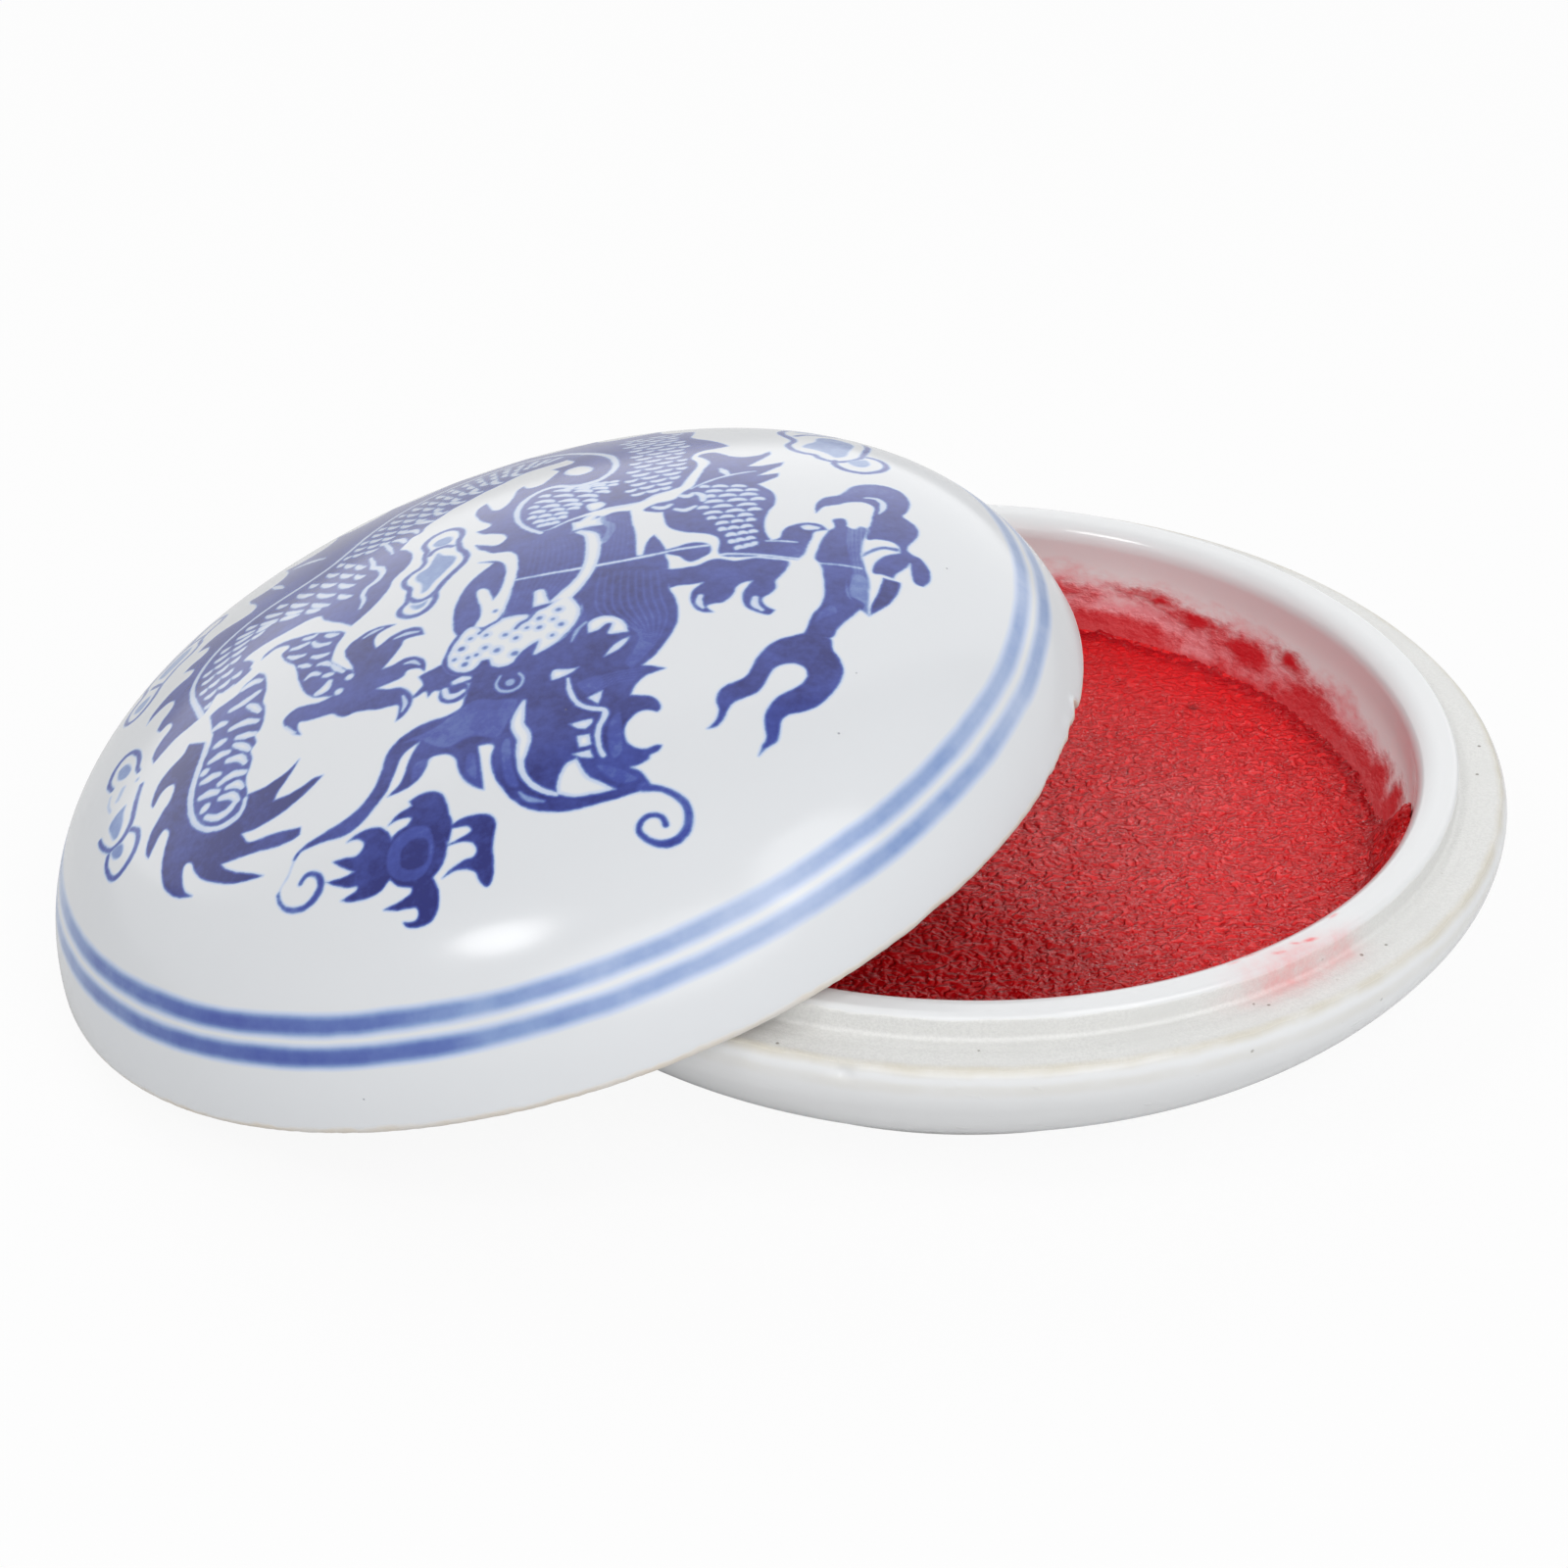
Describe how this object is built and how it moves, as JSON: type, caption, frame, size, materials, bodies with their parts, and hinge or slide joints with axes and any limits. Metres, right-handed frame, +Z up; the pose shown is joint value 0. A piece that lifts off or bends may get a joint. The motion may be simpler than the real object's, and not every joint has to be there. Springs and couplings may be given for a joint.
{
  "type": "seal paste box",
  "caption": "Round porcelain box for red seal paste: footed bowl with a raised lip, paste in its well, and a domed blue-and-white lid left half off.",
  "frame": {"origin": "centre of the foot ring, on the surface that the box stands on", "axes": "+Z up; the lid is slid off towards -X and its raised edge lies over the base; the two contact points on the lip lie either side of the XZ plane"},
  "size_m": [0.1201, 0.09, 0.036],
  "materials": {
    "base_glaze": "clear glaze over white porcelain, ledge and lip side unglazed",
    "paste": "soft oily red paste with a fine wrinkled skin",
    "lid_glaze": "clear glaze over a blue painted dragon and two rim lines"
  },
  "bodies": {
    "base": {"base_bowl": "base_glaze", "seal_paste": "paste"},
    "lid": {"lid": "lid_glaze"}
  },
  "joints": [
    {"name": "lid_lift", "type": "slide", "parent": "base", "child": "lid", "axis": [0, 0, 1], "range_m": [0, 0.08]}
  ]
}
